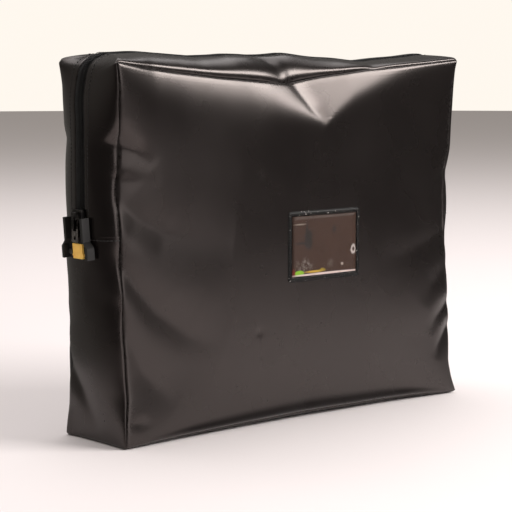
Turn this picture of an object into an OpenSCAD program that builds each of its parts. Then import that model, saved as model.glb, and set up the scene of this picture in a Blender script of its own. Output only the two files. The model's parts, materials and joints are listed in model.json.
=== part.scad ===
// Battery safety bag: a box-shaped pouch of coated fabric that stands upright.
// The zip runs along the middle of the gusset, up one side, over the top and down the other.
// Frame: X is the width, the front panel faces -Y, Z is up, the origin is the middle of the base.

/* [Bag] */
// Width between the side seams
bag_w = 370; // [320:5:420]
// Depth over the front and back panels
bag_d = 82; // [82:1:100]
// Height of the panels
bag_h = 305; // [290:5:340]
// Radius of the panels' corners
corner_r = 12; // [11:0.5:15]
// How far the side gussets stand out beyond the side seams
side_rise = 13; // [10:0.5:15]
// How far the top gusset stands out above the top seams
top_rise = 4.5; // [3:0.5:6]

/* [Fabric] */
// Thickness of the outer coated fabric
skin_t = 1.2; // [1:0.1:1.2]
// Thickness of the fire-resistant lining
lining_t = 1.6; // [1.2:0.1:1.6]
// Height of the bound seam allowances inside the bag
binding_h = 6; // [4:0.5:6.5]

/* [Zip] */
// Height of both ends of the zip, where the flap starts to fold
zip_end_h = 182; // [182:1:195]
// Height over which the front folds when the flap opens
fold_h = 45; // [45:1:60]
// Distance between the zip strips' edges
chain_gap = 18; // [17:0.5:20]
// Width of one row of teeth
coil_w = 4.75; // [4.25:0.25:4.75]

/* [Seal housing] */
// Outer width of the housing round the slider
channel_w = 26; // [26:1:30]
// Outer width of the housing round the seal
chamber_w = 35; // [34:1:36]
// How far the housing stands out from the gusset
chamber_depth = 7; // [6.5:0.5:8.5]
// Thickness of the housing's walls
chamber_wall = 3; // [2:0.5:3]

/* [Label window] */
// Width of the window's welded frame
window_w = 82; // [60:1:110]
// Height of the window's welded frame
window_h = 60; // [40:1:60]
// Distance of the window's middle from the bag's middle
window_x = 25; // [0:1:40]
// Height of the window's middle
window_z = 149; // [130:1:150]
// Width of the frame's bars
window_bar = 4; // [3:0.5:6]

/* [Hidden] */

$fn = 48;
black = "#232021";
lining_grey = "#a9a7a0";
tape_black = "#1a1819";
steel = "#b9b6b0";
seal_yellow = "#f2b23a";

// Fabric layers are measured as depths below the gusset's outer face.
layer_gap = 0.2;
body_gap = 0.3;
half_w = bag_w / 2;
half_d = bag_d / 2;
in_d = half_d - skin_t;
lining_d = in_d - layer_gap;
lining_in_d = lining_d - lining_t;
lining_top = skin_t + layer_gap;
lining_bottom = lining_top + lining_t;
binding_top = lining_bottom + layer_gap;
binding_t = 1.7;
binding_d = lining_in_d - 0.4;

// The gusset is flat-topped: this half width carries the zip, a wider one the seal housing.
flat_zip = 13;
flat_chamber = 18;
flat_blend = 30;
join_h = zip_end_h - 14;
fold_top = zip_end_h + fold_h;
ease_start = bag_h - 55;

// Zip: half widths across the gusset and depths below the strips' face.
strip_edge = chain_gap / 2;
tape_edge = 1.3;
tape_out = flat_chamber;
tape_top = skin_t + layer_gap;
tape_t = 0.8;
coil_edge = 0.15;
coil_out = coil_edge + coil_w;
coil_top = -1.6;
coil_bottom = tape_top - layer_gap;
coil_start_h = zip_end_h - 4;
coil_end_h = zip_end_h + 2;

// Slider and pull, in depths below the strips' face and heights above the slider's lower end.
slider_h0 = zip_end_h - 11;
slider_len = 18;
slider_half = 6.5;
plate_t = 1.7;
outer_plate = coil_top - body_gap;
inner_plate = tape_top + tape_t + body_gap;
flange_half = coil_out + 0.4;
post_half = 0.9;
post_z = 2;
post_len = 3;
crown_half = 1.6;
crown_z = 2.8;
crown_len = 13.2;
crown_t = 1.5;
crown_gap = 2.6;
pin_r = 0.9;
pin_depth = outer_plate - plate_t - crown_gap / 2;
pin_z = 10;
pull_t = 1.4;
pull_arm_in = 2.3;
pull_half = 4.2;
pull_slot = 9;
pull_len = 18;

// Seal housing, along the gusset from the strips' lower ends.
chamber_tilt = atan(side_rise / join_h);
chamber_top = 15;
chamber_bottom = -17.8;
shoulder_z = -8.2;
floor_t = 2.2;
slot_half = 9.6;
slot_z = 1.5;
seat_gap = 0.05;
back_plate_t = 1.5;
rivet_r = 1.5;
rivet_head_r = 2.3;
rivet_head_t = 0.8;
rivet_spots = [[-11.6, -13], [11.6, -13], [-7, -3], [7, -3]];
peg_r = 1.4;
peg_clear = 0.1;
peg_spots = [[-3.8, -12.8], [3.8, -12.8]];
seal_half = 6.4;
seal_ear = 0.8;
seal_h = 12;
seal_t = 1.8;

// Label window, in distances out from the front panel's face.
card_floor = 0.15;
card_t = 0.3;
film_floor = 0.6;
film_t = 0.25;
frame_t = 1.3;
film_edge = 0.8;
card_clear = 0.5;

// ---- Gusset shape ----

function smooth(t) = let (c = min(1, max(0, t))) c * c * (3 - 2 * c);

function mix(a, b, t) = a + (b - a) * t;

// The gusset stands out fully beside the zip, fades to nothing at the base and eases into the top.
function rise_at(z) =
    z < join_h ? side_rise * z / join_h
    : mix(side_rise, top_rise, smooth((z - ease_start) / (bag_h - ease_start)));

function flat_at(z) = mix(flat_chamber, flat_zip, smooth((z - zip_end_h) / flat_blend));

function lift(u, z) = rise_at(z) * min(1, (half_d - abs(u)) / (half_d - flat_at(z)));

// A station is [x, z, angle]: a place on the panels' outline and the direction that faces outwards.
function side_run(side, z0, z1, steps) =
    [for (i = [0:steps]) [side * half_w, mix(z0, z1, i / steps), side > 0 ? 0 : 180]];

function corner(side, z, a0, a1, steps = 6) =
    [for (i = [0:steps]) let (a = mix(a0, a1, i / steps))
        [side * (half_w - corner_r) + corner_r * cos(a), z + corner_r * sin(a), a]];

function flat_run(x0, x1, z, angle, steps) =
    [for (i = [1:steps - 1]) [mix(x0, x1, i / steps), z, angle]];

// From the left side over the top to the right side, both starting at height z0.
function over_top(z0) = concat(
    side_run(-1, z0, ease_start, 2),
    side_run(-1, ease_start + 9, bag_h - corner_r - 4, 3),
    corner(-1, bag_h - corner_r, 180, 90),
    flat_run(-half_w + corner_r, half_w - corner_r, bag_h, 90, 4),
    corner(1, bag_h - corner_r, 90, 0),
    side_run(1, bag_h - corner_r - 4, ease_start + 9, 3),
    side_run(1, ease_start, z0, 2));

// From the left side under the base to the right side, both starting at height z0.
function under_base(z0) = concat(
    side_run(-1, z0, corner_r + 4, 6),
    corner(-1, corner_r, 180, 270, 4),
    flat_run(-half_w + corner_r, half_w - corner_r, 0, 270, 5),
    corner(1, corner_r, 270, 360, 4),
    side_run(1, corner_r + 4, z0, 6));

function all_round() = let (up = over_top(join_h), down = under_base(join_h - 10))
    concat(up, [for (i = [len(down) - 1:-1:0]) down[i]]);

// A point [u, depth] of a layer's section, placed at one station.
function placed(station, point) =
    let (out = lift(point[0], station[1]) - point[1])
    [station[0] + out * cos(station[2]), point[0], station[1] + out * sin(station[2])];

// A fabric layer's section: the given distances u across the gusset at one depth, back at another.
function layer(us, top, bottom) =
    concat([for (u = us) [u, top]], [for (i = [len(us) - 1:-1:0]) [us[i], bottom]]);

function mirrored(us, side) = [for (u = us) side * u];

// How far the middle of two points lies from the middle of the bag.
function bulge(a, b) = let (m = (a + b) / 2) norm([m[0], m[2] - bag_h / 2]);

// Splits a four-cornered face along the diagonal that bulges outwards, the same way in every layer.
function split(points, q) =
    bulge(points[q[0]], points[q[2]]) > bulge(points[q[1]], points[q[3]])
    ? [[q[0], q[1], q[2]], [q[0], q[2], q[3]]]
    : [[q[1], q[2], q[3]], [q[1], q[3], q[0]]];

// Sweeps a section along stations. A closed sweep joins its last station to its first.
module swept(stations, section, closed = false) {
    n = len(section);
    rings = len(stations);
    last = closed ? rings : rings - 1;
    points = [for (s = stations) for (p = section) placed(s, p)];
    walls = [for (r = [0:last - 1]) for (i = [0:n - 1])
        let (a = r * n, b = ((r + 1) % rings) * n, j = (i + 1) % n)
        for (face = split(points, [a + i, a + j, b + j, b + i])) face];
    end = (rings - 1) * n;
    caps = closed ? [] : [for (i = [0:n / 2 - 2]) for (cap = [
        [i + 1, i, n - 1 - i, n - 2 - i],
        [end + i, end + i + 1, end + n - 2 - i, end + n - 1 - i]]) cap];
    polyhedron(points, concat(walls, caps), convexity = 10);
}

// side is -1 for the front half of the gusset and 1 for the rear half.
module half_layer(stations, side, us, top, bottom) {
    section = layer(mirrored(us, side), top, bottom);
    ordered = side > 0 ? section : [for (i = [len(section) - 1:-1:0]) section[i]];
    swept(stations, ordered);
}

// ---- Panels ----

module panel_outline(inset) {
    r = corner_r - inset;
    translate([-half_w + inset, corner_r]) square([bag_w - 2 * inset, bag_h - 2 * corner_r]);
    translate([-half_w + corner_r, inset]) square([bag_w - 2 * corner_r, bag_h - 2 * inset]);
    for (x = [-1, 1], z = [corner_r, bag_h - corner_r])
        translate([x * (half_w - corner_r), z]) circle(r);
}

// A flat layer whose front face is at y, between two heights.
module panel(y, thickness, inset, z0 = 0, z1 = bag_h)
    translate([0, y + thickness, 0]) rotate([90, 0, 0]) linear_extrude(thickness)
        intersection() {
            panel_outline(inset);
            translate([-half_w, z0]) square([bag_w, z1 - z0]);
        }

module back_panel() color(black) panel(in_d, skin_t, 0);

module front_panel_lower() color(black) panel(-half_d, skin_t, 0, 0, zip_end_h);

module front_panel_fold() color(black)
    panel(-half_d, skin_t, 0, zip_end_h, fold_top - body_gap);

module front_panel_upper() color(black) panel(-half_d, skin_t, 0, fold_top, bag_h);

module back_lining() color(lining_grey) panel(lining_in_d, lining_t, lining_top);

module front_lining(z0, z1) color(lining_grey) panel(-lining_d, lining_t, lining_top, z0, z1);

module front_lining_lower() front_lining(0, zip_end_h);

module front_lining_fold() front_lining(zip_end_h, fold_top - body_gap);

module front_lining_upper() front_lining(fold_top, bag_h);

// ---- Gusset and its seams ----

strip_us = [strip_edge, flat_zip, flat_chamber, in_d];
lining_us = [tape_out + 0.4, lining_in_d - layer_gap];
tape_us = [tape_edge, flat_zip, flat_chamber];
coil_us = [coil_edge, coil_out];
binding_us = [binding_d - binding_t, binding_d];

// The two short lengths of a front layer that fold, one on each side of the bag.
module fold_pair(us, top, bottom, left_z0 = join_h, right_z0 = join_h) {
    z1 = fold_top - body_gap;
    half_layer(side_run(-1, left_z0, z1, 3), -1, us, top, bottom);
    half_layer(side_run(1, z1, right_z0, 3), -1, us, top, bottom);
}

module lower_gusset() color(black)
    swept(under_base(join_h), layer([in_d, flat_chamber, -flat_chamber, -in_d], skin_t, 0));

module lower_gusset_lining() color(lining_grey)
    swept(under_base(join_h), layer(
        [lining_in_d - layer_gap, flat_chamber, -flat_chamber, -lining_in_d + layer_gap],
        lining_bottom, lining_top));

module rear_zip_strip() color(black) half_layer(over_top(join_h), 1, strip_us, 0, skin_t);

module front_strip_fold() color(black) fold_pair(strip_us, 0, skin_t);

module front_zip_strip() color(black) half_layer(over_top(fold_top), -1, strip_us, 0, skin_t);

module rear_strip_lining() color(lining_grey)
    half_layer(over_top(join_h), 1, lining_us, lining_top, lining_bottom);

module front_strip_lining_fold() color(lining_grey) fold_pair(lining_us, lining_top, lining_bottom);

module front_strip_lining() color(lining_grey)
    half_layer(over_top(fold_top), -1, lining_us, lining_top, lining_bottom);

module rear_seam_binding() color(tape_black)
    swept(all_round(), layer(binding_us, binding_top, binding_top + binding_h), closed = true);

module front_binding_lower() color(tape_black)
    swept(under_base(zip_end_h),
        layer(mirrored(binding_us, -1), binding_top, binding_top + binding_h));

module front_binding_fold() color(tape_black)
    fold_pair(binding_us, binding_top, binding_top + binding_h, zip_end_h, zip_end_h);

module front_binding_upper() color(tape_black)
    half_layer(over_top(fold_top), -1, binding_us, binding_top, binding_top + binding_h);

// ---- Zip ----

module rear_zip_tape() color(tape_black)
    half_layer(over_top(join_h), 1, tape_us, tape_top, tape_top + tape_t);

module front_tape_fold() color(tape_black) fold_pair(tape_us, tape_top, tape_top + tape_t);

module front_zip_tape() color(tape_black)
    half_layer(over_top(fold_top), -1, tape_us, tape_top, tape_top + tape_t);

// The rows of teeth start just above the slider's post and end above the end tab.
module rear_zip_coil() color(tape_black) {
    run = over_top(coil_end_h);
    half_layer(concat([[-half_w, coil_start_h, 180]], run), 1, coil_us, coil_top, coil_bottom);
}

module front_coil_fold() color(tape_black)
    fold_pair(coil_us, coil_top, coil_bottom, coil_start_h, coil_end_h);

module front_zip_coil() color(tape_black)
    half_layer(over_top(fold_top), -1, coil_us, coil_top, coil_bottom);

module zip_end_tab() color(black)
    half_layer(side_run(1, zip_end_h - 0.5, join_h, 1), 1, [-14, 14], -1.3, -0.1);

// The x coordinate of a depth below the strips' face on the left side.
function left_x(depth) = -half_w - side_rise + depth;

// Extrudes a shape drawn in (y, height) between two depths on the left side.
module left_block(depth0, depth1)
    translate([left_x(depth0), 0, 0]) rotate([90, 0, 90]) linear_extrude(depth1 - depth0)
        children();

module slider_outline() {
    nose = 4;
    tail_half = 5.6;
    polygon([
        [-slider_half + 2, 0], [slider_half - 2, 0], [slider_half, nose],
        [slider_half, slider_len / 2], [tail_half, slider_len],
        [-tail_half, slider_len], [-slider_half, slider_len / 2], [-slider_half, nose]]);
}

module zip_slider() color(steel) translate([0, 0, slider_h0]) {
    left_block(outer_plate - plate_t, outer_plate) slider_outline();
    left_block(inner_plate, inner_plate + plate_t) slider_outline();
    // Flanges round the teeth stop short of the tape.
    for (side = [-1, 1])
        left_block(outer_plate, tape_top - 0.5)
            intersection() {
                slider_outline();
                translate([side > 0 ? flange_half : -flange_half - 5, 0]) square([5, slider_len]);
            }
    left_block(outer_plate, inner_plate)
        translate([-post_half, post_z]) square([2 * post_half, post_len]);
    // Crown: a lengthwise bridge that holds the pull's pin.
    crown_under = outer_plate - plate_t - crown_gap;
    left_block(crown_under - crown_t, crown_under)
        translate([-crown_half, crown_z]) square([2 * crown_half, crown_len]);
    for (z = [crown_z, crown_z + crown_len - crown_t])
        left_block(crown_under, outer_plate - plate_t)
            translate([-crown_half, z]) square([2 * crown_half, crown_t]);
}

module zip_pull() color(steel) translate([0, 0, slider_h0 + pin_z]) {
    translate([left_x(pin_depth), 0, 0]) rotate([90, 0, 0])
        cylinder(r = pin_r, h = 2 * (pull_arm_in + 0.5), center = true);
    left_block(pin_depth - pull_t / 2, pin_depth + pull_t / 2)
        difference() {
            translate([-pull_half, -pull_len]) square([2 * pull_half, pull_len + 1]);
            translate([-pull_arm_in, -pull_slot]) square([2 * pull_arm_in, pull_slot + 2]);
            translate([0, -pull_len + 3.5]) circle(1.6);
        }
}

// ---- Seal housing, in a frame that leans with the gusset ----

// Local frame: x out from the gusset, y across it, z up it from the strips' lower ends.
module on_gusset() translate([left_x(0), 0, join_h]) rotate([0, -chamber_tilt, 0])
    mirror([1, 0, 0]) children();

module chamber_outline(inset) {
    narrow = channel_w / 2 - inset;
    wide = chamber_w / 2 - inset;
    lower = shoulder_z + inset * (sqrt(2) - 1);
    upper = lower + (chamber_w - channel_w) / 2;
    over = inset > 0 ? 1 : 0;
    polygon([
        [-wide, chamber_bottom - over], [wide, chamber_bottom - over], [wide, lower],
        [narrow, upper], [narrow, chamber_top + over],
        [-narrow, chamber_top + over], [-narrow, upper], [-wide, lower]]);
}

module out_block(x0, x1)
    translate([x0, 0, 0]) rotate([90, 0, 90]) linear_extrude(x1 - x0) children();

module out_pin(spot, r, x0, x1)
    translate([x0, spot[0], spot[1]]) rotate([0, 90, 0]) cylinder(r = r, h = x1 - x0);

module seal_chamber() color(black) on_gusset() difference() {
    out_block(seat_gap, chamber_depth) chamber_outline(0);
    out_block(floor_t, chamber_depth + 1) chamber_outline(chamber_wall);
    out_block(-1, chamber_depth + 1)
        translate([-slot_half, slot_z]) square([2 * slot_half, chamber_top]);
    for (spot = rivet_spots) out_pin(spot, rivet_r, -1, floor_t + 1);
    for (spot = peg_spots) out_pin(spot, peg_r + peg_clear, 0.5, floor_t + 1);
}

plate_out = -lining_bottom - 0.1;

module chamber_back_plate() color(black) on_gusset() difference() {
    out_block(plate_out - back_plate_t, plate_out)
        translate([-15, -18]) square([30, 17]);
    for (spot = rivet_spots)
        out_pin(spot, rivet_r, plate_out - back_plate_t - 1, plate_out + 1);
}

module chamber_rivets() color(steel) on_gusset() for (spot = rivet_spots) {
    out_pin(spot, rivet_r, plate_out - back_plate_t, floor_t);
    out_pin(spot, rivet_head_r, floor_t, floor_t + rivet_head_t);
    out_pin(spot, rivet_head_r, plate_out - back_plate_t - rivet_head_t, plate_out - back_plate_t);
}

module security_seal() color(seal_yellow) on_gusset() {
    back = floor_t + peg_clear;
    out_block(back, back + seal_t) {
        translate([-seal_half, chamber_bottom]) square([2 * seal_half, seal_h]);
        // Small ears near the seal's lower end.
        translate([-seal_half - seal_ear, chamber_bottom + 2])
            square([2 * (seal_half + seal_ear), 1.8]);
    }
    for (spot = peg_spots) out_pin(spot, peg_r, 0.7, back);
}

// ---- Label window ----

// Extrudes a shape drawn in (x, height) about the window's middle, out from the front panel.
module on_front(out0, out1)
    translate([window_x, -half_d - out0, window_z]) rotate([90, 0, 0])
        linear_extrude(out1 - out0) children();

module window_rect(inset)
    square([window_w - 2 * inset, window_h - 2 * inset], center = true);

module window_frame() color(black) difference() {
    on_front(0, frame_t) window_rect(0);
    on_front(-1, frame_t + 1) window_rect(window_bar);
    on_front(film_floor, film_floor + film_t) window_rect(film_edge);
    // The card's slot runs out through the right-hand bar.
    on_front(-1, film_floor)
        translate([0, -window_h / 2 + window_bar]) square([window_w, window_h - 2 * window_bar]);
}

module window_film() color("#c8d0d4", 0.35)
    on_front(film_floor, film_floor + film_t) window_rect(film_edge);

module label_card() color("#4a352a")
    on_front(card_floor, card_floor + card_t) window_rect(window_bar + card_clear);

back_panel();
front_panel_lower();
front_panel_fold();
front_panel_upper();
lower_gusset();
rear_zip_strip();
front_strip_fold();
front_zip_strip();
back_lining();
front_lining_lower();
front_lining_fold();
front_lining_upper();
lower_gusset_lining();
rear_strip_lining();
front_strip_lining_fold();
front_strip_lining();
rear_seam_binding();
front_binding_lower();
front_binding_fold();
front_binding_upper();
rear_zip_tape();
front_tape_fold();
front_zip_tape();
rear_zip_coil();
front_coil_fold();
front_zip_coil();
zip_end_tab();
zip_slider();
zip_pull();
seal_chamber();
chamber_back_plate();
chamber_rivets();
security_seal();
window_frame();
window_film();
label_card();
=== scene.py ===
"""Looks of the battery safety bag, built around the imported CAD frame.

Lengths are in millimetres until mesh_object() turns them into metres. Lights and camera are in metres.
The frame is the part's own: X is the width, the front faces -Y and Z is up.
"""
import json
import math

import bmesh
import bpy
import numpy as np
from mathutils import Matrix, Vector


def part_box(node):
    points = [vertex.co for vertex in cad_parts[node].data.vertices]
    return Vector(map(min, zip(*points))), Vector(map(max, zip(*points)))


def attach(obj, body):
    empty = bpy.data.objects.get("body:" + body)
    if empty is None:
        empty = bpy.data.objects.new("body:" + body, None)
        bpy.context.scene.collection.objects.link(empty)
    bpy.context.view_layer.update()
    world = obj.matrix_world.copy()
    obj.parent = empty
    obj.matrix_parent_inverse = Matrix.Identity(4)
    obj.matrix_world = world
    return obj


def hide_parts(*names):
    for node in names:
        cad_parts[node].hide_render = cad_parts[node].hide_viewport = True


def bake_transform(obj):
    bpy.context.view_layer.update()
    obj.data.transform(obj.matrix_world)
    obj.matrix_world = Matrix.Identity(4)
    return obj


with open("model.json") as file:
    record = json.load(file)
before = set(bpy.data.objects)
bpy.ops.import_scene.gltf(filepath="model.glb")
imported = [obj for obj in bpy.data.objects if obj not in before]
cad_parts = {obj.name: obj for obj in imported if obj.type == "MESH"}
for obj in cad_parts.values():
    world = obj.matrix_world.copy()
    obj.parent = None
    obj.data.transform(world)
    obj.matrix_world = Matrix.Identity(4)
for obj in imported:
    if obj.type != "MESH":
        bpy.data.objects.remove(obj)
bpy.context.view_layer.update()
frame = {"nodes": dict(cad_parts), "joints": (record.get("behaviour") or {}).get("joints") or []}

MM = 0.001


def node_box(node):
    """A CAD node's lowest and highest corner, in millimetres."""
    lo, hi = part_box(node)
    return np.array(lo) / MM, np.array(hi) / MM


def joint(name):
    return next(j for j in frame["joints"] if j["name"] == name)


# ---- Sizes, from the frame ----

_, back_hi = node_box("back_panel")
HALF_W, HALF_D, HEIGHT = back_hi
strip_lo, strip_hi = node_box("rear_zip_strip")
SIDE_RISE = -HALF_W - strip_lo[0]
TOP_RISE = strip_hi[2] - HEIGHT
JOIN_H = strip_lo[2]
# The cloth strips' edges lie this much nearer the zip's line than the CAD strips' edges.
STRIP_REACH = 3.2
STRIP_EDGE = strip_lo[1] - STRIP_REACH
ZIP_END_H = joint("flap_hinge")["pos_m"][2] / MM
frame_lo, frame_hi = node_box("window_frame")
film_lo, film_hi = node_box("window_film")
card_lo, card_hi = node_box("label_card")
# The zip's line bends over the top corners at this radius, and the panels' outlines at CORNER.
RIDGE_R = 12.0
# Above this height the gusset's bulge changes to what it is over the top.
EASE_START = HEIGHT - 55.0
CORNER = 3.0
SKIN_T = 0.8
LINING_T = 0.7
# How far under the cloth's face the lining and the zip's tape lie.
LINING_GAP = 2.2
TAPE_GAP = 1.15
# How far a panel's cloth turns in at its seams, and over what distance.
ROLL = 1.6
ROLL_REACH = 1.5
ALLOWANCE = 5.0
THREAD_R = 0.42
WIRE_SIDES = 6
# Rows of cloth this near the join of two pieces keep its edge crisp.
JOIN_ROW = 0.25


def smooth(t):
    t = np.clip(t, 0, 1)
    return t * t * (3 - 2 * t)


def eased(x, points, width):
    """The line through a few (x, value) points, its corners rounded over a width by averaging."""
    offsets = np.linspace(-1, 1, 9) * width
    weights = 1 - np.abs(offsets) / (width * 1.2)
    xs, values = np.array(points, float).T
    total = sum(w * np.interp(np.asarray(x, float) + o, xs, values) for o, w in zip(offsets, weights))
    return total / weights.sum()


def unit(v):
    return v / np.maximum(np.linalg.norm(v, axis=-1, keepdims=True), 1e-9)


def run_along(path):
    """How far along a path each of its points is."""
    return np.concatenate([[0], np.cumsum(np.linalg.norm(np.diff(path, axis=0), axis=1))])


def at_run(s, run, path):
    """The places on a path that are s along it."""
    return np.stack([np.interp(s, run, values) for values in path.T], -1)


def circle(count):
    return np.linspace(0, 2 * math.pi, count, endpoint=False)


def polyline_frame(x, z, points):
    """Distance above (+) or below (-) a polyline, and how far along it the nearest point is, 0 to 1."""
    p = np.array(points, float)
    starts = run_along(p)
    best = np.full(np.shape(x), 1e9)
    signed = np.zeros(np.shape(x))
    along = np.zeros(np.shape(x))
    for k, length in enumerate(np.diff(starts)):
        d = (p[k + 1] - p[k]) / length
        rx, rz = x - p[k][0], z - p[k][1]
        t = np.clip(rx * d[0] + rz * d[1], 0, length)
        ox, oz = rx - t * d[0], rz - t * d[1]
        dist = np.hypot(ox, oz)
        side = np.sign(d[0] * rz - d[1] * rx)
        near = dist < best
        best = np.where(near, dist, best)
        signed = np.where(near, side * dist, signed)
        along = np.where(near, (starts[k] + t) / starts[-1], along)
    return signed, along


def fold(x, z, points, depth, above, below, sharp=1.5, fade=1.0, spread=0.0):
    """A valley fold along a polyline: how deep it dents the cloth at each place.

    above and below are the widths of its two flanks, fade is how fast it dies out along its length
    and spread is how much wider it gets on the way."""
    signed, along = polyline_frame(x, z, points)
    width = np.where(signed > 0, above, below) * (1 + spread * along)
    reach = np.sqrt(signed**2 + sharp**2) - sharp
    return depth * (1 - along) ** fade * np.exp(-((reach / width) ** 1.3))


def folds(x, z, several):
    """All of a face's folds together."""
    return sum(fold(x, z, *one) for one in several)


def dimple(x, z, cx, cz, rx, rz, depth):
    return depth * np.exp(-(((x - cx) / rx) ** 2) - ((z - cz) / rz) ** 2)


# ---- Front panel's shape ----

# What each list says at a height or a width: how far in the panel's side edges lie, how far its top edge
# sags and how far its bottom edge is lifted.
FRONT_LEFT_IN = [(0, -1), (21, 1), (40, 4.2), (70, 4.2), (107, 3), (150, 2.3), (175, 2), (202, 1.5),
                 (225, 2.2), (240, 3), (257, -0.5), (270, -2), (285, -3), (305, -5)]
FRONT_RIGHT_IN = [(0, -8), (15, -3), (30, -0.5), (42, -2.5), (60, -5.5), (80, -5), (100, -1.5), (122, 0),
                  (140, 0.8), (160, 5.5), (185, 6.8), (200, 3.4), (213, 3.5), (225, 0), (250, 0.3),
                  (280, 0.2), (296, -1.6), (305, -6)]
FRONT_TOP_SAG = [(-185, -1.5), (-160, 3), (-130, 7), (-80, 12), (-40, 15), (-6, 17.5), (30, 12), (80, 6.5),
                 (120, 4), (185, -1.5)]
BOTTOM_LIFT = [(-185, -0.4), (-150, 1.5), (0, 3.5), (140, 2.5), (185, 0)]
# Where the top starts to lean back, left and right of a buckle below the top seam's lowest point.
LEAN_LEFT = [(-185, 299), (-170, 292), (-150, 281), (-120, 276), (-90, 274), (-60, 271), (-30, 266),
             (0, 258), (29, 252), (60, 248), (185, 240)]
LEAN_RIGHT = [(-60, 199), (29, 252), (60, 271), (90, 282), (120, 292), (150, 301), (185, 306)]
# How wide the left part's lean begins, how steep each part's is, and how wide the right part's begins.
LEAN_LEFT_SOFT = [(-185, 8), (-120, 13), (-50, 13), (-10, 6), (20, 3), (185, 3)]
LEAN_LEFT_SLOPE = [(-185, 0.3), (-150, 0.36), (-60, 0.4), (29, 0.43)]
LEAN_RIGHT_SOFT = [(29, 1.6), (60, 3), (120, 5), (185, 6)]
LEAN_RIGHT_SLOPE = [(29, 0.28), (90, 0.32), (140, 0.3), (185, 0.2)]
# How far the panel's foot tucks under.
TUCK = [(-185, 0.8), (-165, 1.6), (-150, 3), (-120, 6), (-90, 7.5), (-60, 9), (0, 10.5), (30, 10.5),
        (60, 9.5), (90, 9), (120, 7.5), (150, 4), (170, 2), (185, 0.8)]
# How deep the side edges are pulled in towards the back, by height.
LEFT_PULL = [(0, 0), (60, 2), (150, 2), (198, 3), (238, 5), (262, 2), (305, 0)]
RIGHT_PULL = [(0, 0), (60, 4), (110, 5), (185, 7), (215, 5), (250, 3), (305, 0)]
WINDOW_MARGIN = 2.0
# Every fold is a line of places, its depth and its two flanks' widths, then sharp, fade and spread.
FRONT_FOLDS = [
    # The crease between the two parts that lean back.
    ([(-4, 290), (6, 276), (16, 263), (29, 252)], 0.9, 9, 3, 0.8, 0.35),
    # Folds that fan out from pinches in the left seam.
    ([(-186, 199), (-166, 181), (-142, 168), (-110, 162), (-74, 158)], 5.6, 24, 15, 1.2, 0.75, 0.5),
    ([(-186, 150), (-169, 127), (-150, 106), (-120, 85), (-86, 72)], 4.4, 16, 13, 1.3, 0.8, 0.5),
    ([(-186, 104), (-168, 68), (-155, 49), (-134, 30)], 2.6, 12, 11, 1.5, 0.8, 0.4),
    ([(-186, 243), (-168, 235), (-152, 221)], 4.2, 5, 24, 1.0, 0.9, 0.2),
    ([(-186, 214), (-168, 211), (-146, 214)], 1.6, 5, 12, 1.0, 0.8, 0.4),
    # Short folds along the right seam.
    ([(186, 62), (172, 48), (165, 34)], 2.6, 7, 5, 0.8, 0.9),
    ([(186, 84), (168, 72), (158, 58)], 2.4, 9, 6, 1.0, 0.9),
    ([(186, 206), (166, 196), (160, 180)], 3.0, 9, 6, 0.8, 0.9),
    ([(186, 150), (160, 142), (120, 132), (80, 128)], 2.2, 14, 12, 2, 1.0, 0.6),
    ([(186, 118), (164, 104), (150, 84)], 2.0, 11, 9, 1.5, 1.0, 0.3),
]
BACK_FOLDS = [
    ([(186, 212), (160, 196), (120, 180), (70, 174)], 4.4, 22, 16, 1.5, 0.8, 0.5),
    ([(186, 130), (165, 112), (140, 92), (105, 80)], 3.6, 18, 14, 1.5, 0.8, 0.5),
    ([(-186, 180), (-160, 168), (-120, 150), (-84, 146)], 4.0, 22, 16, 1.5, 0.8, 0.5),
    ([(-186, 96), (-166, 74), (-140, 58)], 3.0, 14, 12, 1.5, 0.8, 0.4),
    ([(-186, 244), (-166, 236), (-150, 224)], 3.6, 7, 20, 1.0, 0.9, 0.2),
    ([(40, 300), (30, 282), (16, 266)], 2.6, 14, 6, 1.0, 0.5),
]
# Each dent's middle, its reach in X and Z and its depth.
FRONT_DENTS = [(-47, 211, 2.6, 2.6, 0.7), (-47, 80, 2.6, 2.6, 0.6), (-170, 19, 8, 4, 0.6),
               (6, 14, 12, 6, 0.8)]


def ramp(z, start, soft, slope):
    """Depth that grows with height above start, with a soft beginning."""
    ahead = (z - start) / soft
    return slope * soft * np.where(ahead > 30, ahead, np.log1p(np.exp(np.minimum(ahead, 30))))


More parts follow.
